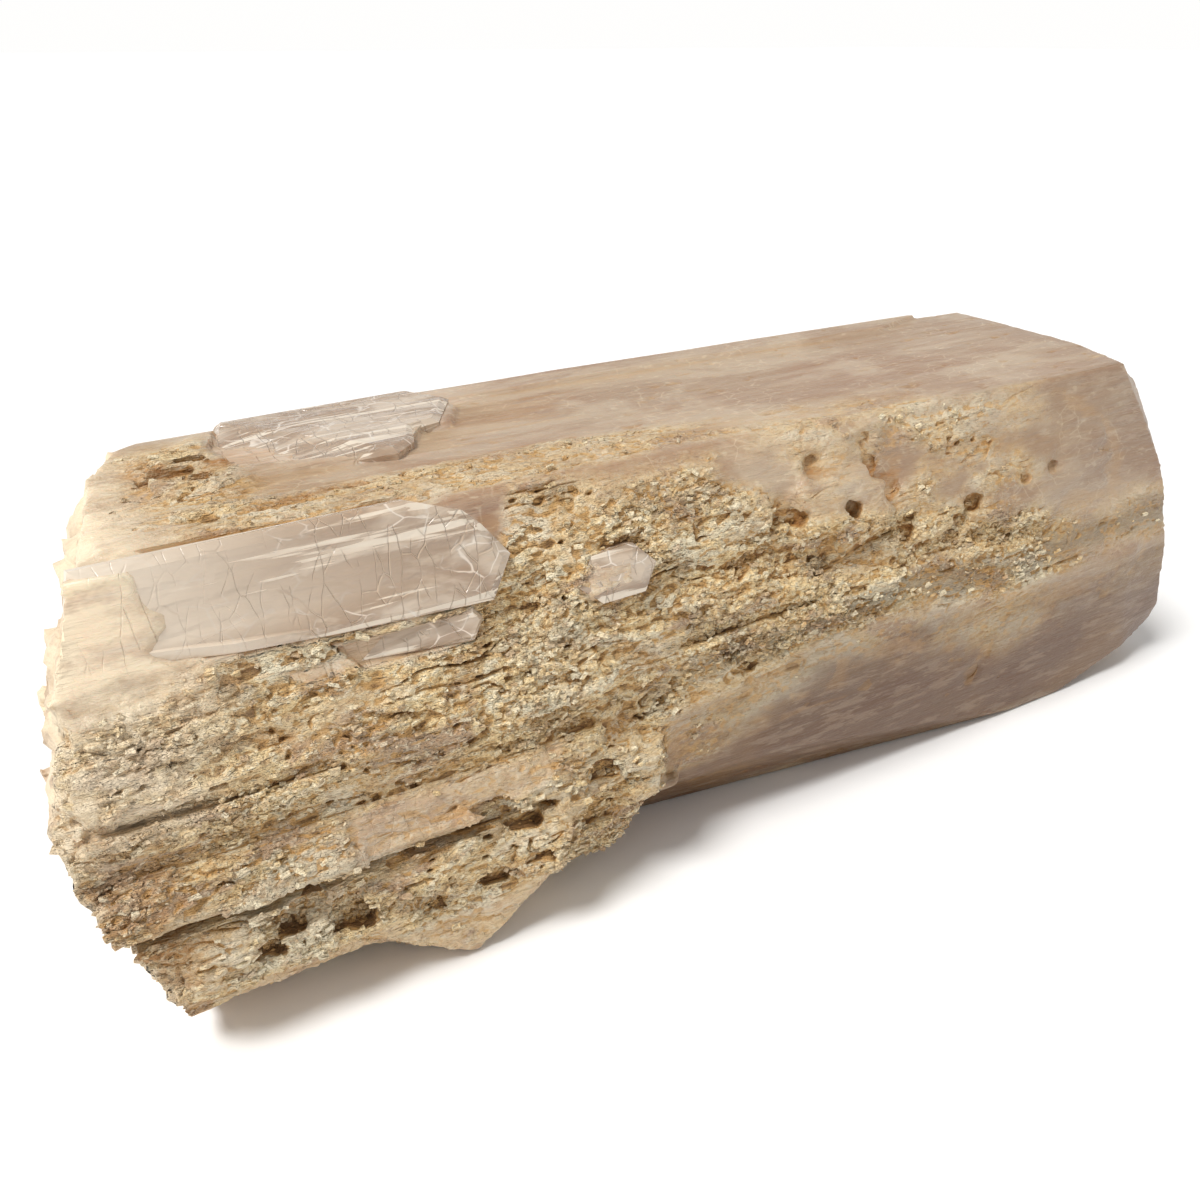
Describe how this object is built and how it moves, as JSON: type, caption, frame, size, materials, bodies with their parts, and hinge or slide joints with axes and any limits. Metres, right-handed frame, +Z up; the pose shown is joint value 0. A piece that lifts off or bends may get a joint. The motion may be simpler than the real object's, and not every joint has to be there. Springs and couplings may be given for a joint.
{
  "type": "danburite crystal",
  "caption": "Rough danburite prism lying on its side, broken at one end and chisel-ended at the other, with side-grown blades, a ridged mass and weathered pits.",
  "frame": {"origin": "centre of the bounding box at its underside, on the surface that the crystal lies on", "axes": "+X along the prism from the broken end to the chisel end, +Y from the front to the back, +Z up"},
  "size_m": [0.127, 0.042, 0.0388],
  "materials": {
    "danburite": "Milky pinkish danburite, partly see-through, with clear blades and rusty, weathered cream patches."
  },
  "bodies": {
    "root": {"danburite_crystal": "danburite"}
  },
  "joints": []
}
